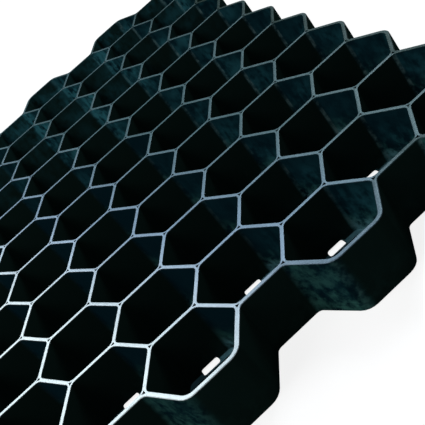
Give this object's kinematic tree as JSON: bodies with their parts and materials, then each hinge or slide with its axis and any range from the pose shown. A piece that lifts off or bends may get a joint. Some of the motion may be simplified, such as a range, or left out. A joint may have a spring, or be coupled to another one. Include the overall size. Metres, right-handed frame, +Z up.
{
  "type": "grass paver grid",
  "caption": "Flat moulded plastic honeycomb panel of open six-sided cells with rounded outer corners, laid as a ground grid to hold turf or gravel.",
  "frame": {"origin": "centre of the panel at ground level", "axes": "+Z up from the ground to the rims, +Y along the columns of cells (the long side), +X across the columns"},
  "size_m": [0.4004, 0.585, 0.038],
  "materials": {
    "black_plastic": "satin black moulded polyethylene with pale worn rims"
  },
  "bodies": {
    "root": {"honeycomb_panel": "black_plastic"}
  },
  "joints": []
}
